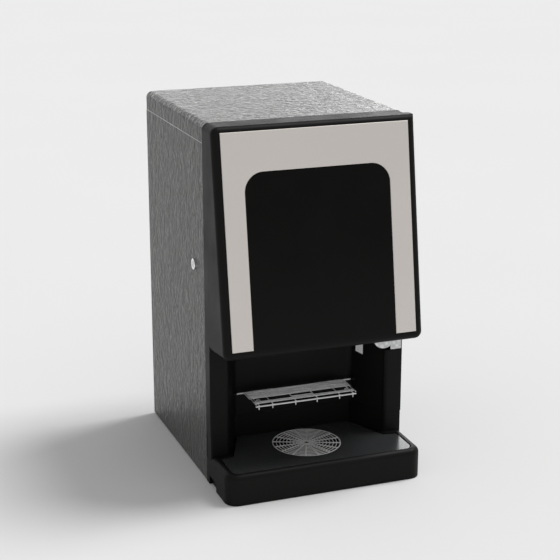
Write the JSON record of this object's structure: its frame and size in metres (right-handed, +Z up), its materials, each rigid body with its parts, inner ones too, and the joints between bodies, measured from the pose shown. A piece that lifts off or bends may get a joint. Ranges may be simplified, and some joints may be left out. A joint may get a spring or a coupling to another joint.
{
  "type": "hot coffee vending machine",
  "caption": "Table-top hot drink vending machine with a sloping front door, smoked screen, cup station with fold-up wire shelf, drip tray and round grid.",
  "frame": {"origin": "middle of the overall footprint, on the floor", "axes": "+Z up, +Y to the back, door and drip tray towards -Y, +X to the right seen from the front"},
  "size_m": [0.4141, 0.5314, 0.724],
  "materials": {
    "case_grey": "fine textured powder coat",
    "black_plastic": "fine texture",
    "black_enamel": "satin black enamel",
    "silver_panel": "satin metallic paint",
    "screen": "smoked gloss",
    "steel": "brushed",
    "chrome": "polished",
    "zinc": "zinc plated",
    "rubber": "matte",
    "grey_plastic": "moulded",
    "clear_plastic": "clear",
    "light_plastic": "frosted",
    "brass": "turned",
    "circuit": "printed board",
    "silicone": "soft",
    "galvanised": "galvanised sheet"
  },
  "bodies": {
    "cabinet": {"base_chassis": "galvanised", "base_moulding": "black_plastic", "bean_hopper": "clear_plastic", "boiler": "steel", "brew_chamber": "grey_plastic", "brew_frame": "grey_plastic", "control_board": "circuit", "cup_light_window": "light_plastic", "cup_station_liner": "black_plastic", "equipment_frame": "galvanised", "fan_housing": "black_plastic", "feet": "rubber", "front_frame": "black_plastic", "gear_motors": "zinc", "grinder_body": "grey_plastic", "grounds_bin": "grey_plastic", "hoses": "silicone", "ingredient_canister": "clear_plastic", "inlet_valve": "brass", "latch_guides": "zinc", "left_pillar": "black_plastic", "left_side_panel": "case_grey", "lock_housing": "chrome", "lock_nut": "black_plastic", "lower_hinge_bracket": "zinc", "mixing_bowl": "black_plastic", "panel_screws": "chrome", "power_inlet": "black_plastic", "power_supply": "galvanised", "rear_panel": "case_grey", "right_pillar": "black_plastic", "right_side_panel": "case_grey", "shelf_bushes": "black_plastic", "spout_head": "black_plastic", "upper_hinge_bracket": "zinc", "water_pump": "brass"},
    "door": {"door_shell": "black_plastic", "door_panel": "silver_panel", "door_screen": "screen", "display_module": "grey_plastic", "door_inner_cover": "black_plastic", "door_strikers": "zinc", "door_hinge_bush": "grey_plastic", "door_hinge_pin": "chrome"},
    "key": {"lock_plug": "chrome", "lock_cam": "zinc"},
    "latch": {"latch_bar": "steel"},
    "shelf": {"cup_shelf": "chrome"},
    "tray": {"drip_tray": "black_plastic"},
    "tray_lid": {"tray_cover": "black_enamel"},
    "grid": {"drip_grid": "steel"},
    "cover": {"top_cover": "case_grey"},
    "hopper_lid": {"bean_hopper_lid": "clear_plastic"},
    "powder_lid": {"canister_lid": "clear_plastic"},
    "rocker": {"power_rocker": "black_plastic"},
    "piston": {"brew_piston": "steel"},
    "burr": {"grinder_burr": "steel"},
    "screw": {"auger": "steel"},
    "whipper": {"whipper_impeller": "grey_plastic"},
    "fan": {"fan_rotor": "black_plastic"}
  },
  "joints": [
    {"name": "door_swing", "type": "hinge", "parent": "cabinet", "child": "door", "pos_m": [0.196, -0.1688, 0.5], "axis": [0, 0, 1], "range_deg": [0, 90]},
    {"name": "key_turn", "type": "hinge", "parent": "cabinet", "child": "key", "pos_m": [-0.195, -0.0695, 0.435], "axis": [1, 0, 0], "range_deg": [0, 90]},
    {"name": "latch_slide", "type": "slide", "parent": "cabinet", "child": "latch", "axis": [0, 0, 1], "range_m": [-0.01697, 0]},
    {"name": "shelf_fold", "type": "hinge", "parent": "cabinet", "child": "shelf", "pos_m": [0, -0.0811, 0.1565], "axis": [-1, 0, 0], "range_deg": [0, 90]},
    {"name": "tray_lift", "type": "slide", "parent": "cabinet", "child": "tray", "axis": [0, 0, 1], "range_m": [0, 0.03]},
    {"name": "tray_cover_lift", "type": "slide", "parent": "tray", "child": "tray_lid", "axis": [0, 0, 1], "range_m": [0, 0.025]},
    {"name": "grid_lift", "type": "slide", "parent": "tray_lid", "child": "grid", "axis": [0, 0, 1], "range_m": [0, 0.02]},
    {"name": "top_cover_lift", "type": "slide", "parent": "cabinet", "child": "cover", "axis": [0, 0, 1], "range_m": [0, 0.08]},
    {"name": "hopper_lid_lift", "type": "slide", "parent": "cabinet", "child": "hopper_lid", "axis": [0, 0, 1], "range_m": [0, 0.03]},
    {"name": "canister_lid_lift", "type": "slide", "parent": "cabinet", "child": "powder_lid", "axis": [0, 0, 1], "range_m": [0, 0.04]},
    {"name": "rocker_tilt", "type": "hinge", "parent": "cabinet", "child": "rocker", "pos_m": [0.115, 0.2515, 0.06], "axis": [1, 0, 0], "range_deg": [0, 24]},
    {"name": "piston_press", "type": "slide", "parent": "cabinet", "child": "piston", "axis": [0, 0, 1], "range_m": [-0.038, 0]},
    {"name": "burr_spin", "type": "hinge", "parent": "cabinet", "child": "burr", "pos_m": [-0.13, -0.0415, 0.545], "axis": [0, 0, 1], "continuous": true},
    {"name": "auger_spin", "type": "hinge", "parent": "cabinet", "child": "screw", "pos_m": [0.105, 0.0085, 0.49], "axis": [0, 1, 0], "continuous": true},
    {"name": "whipper_spin", "type": "hinge", "parent": "cabinet", "child": "whipper", "pos_m": [0.105, 0.0185, 0.4], "axis": [0, 1, 0], "continuous": true},
    {"name": "fan_spin", "type": "hinge", "parent": "cabinet", "child": "fan", "pos_m": [-0.12, 0.2405, 0.63], "axis": [0, 1, 0], "continuous": true}
  ],
  "couplings": [
    {"joint": "latch_slide", "follows": "key_turn", "m_per_rad": -0.010803}
  ]
}
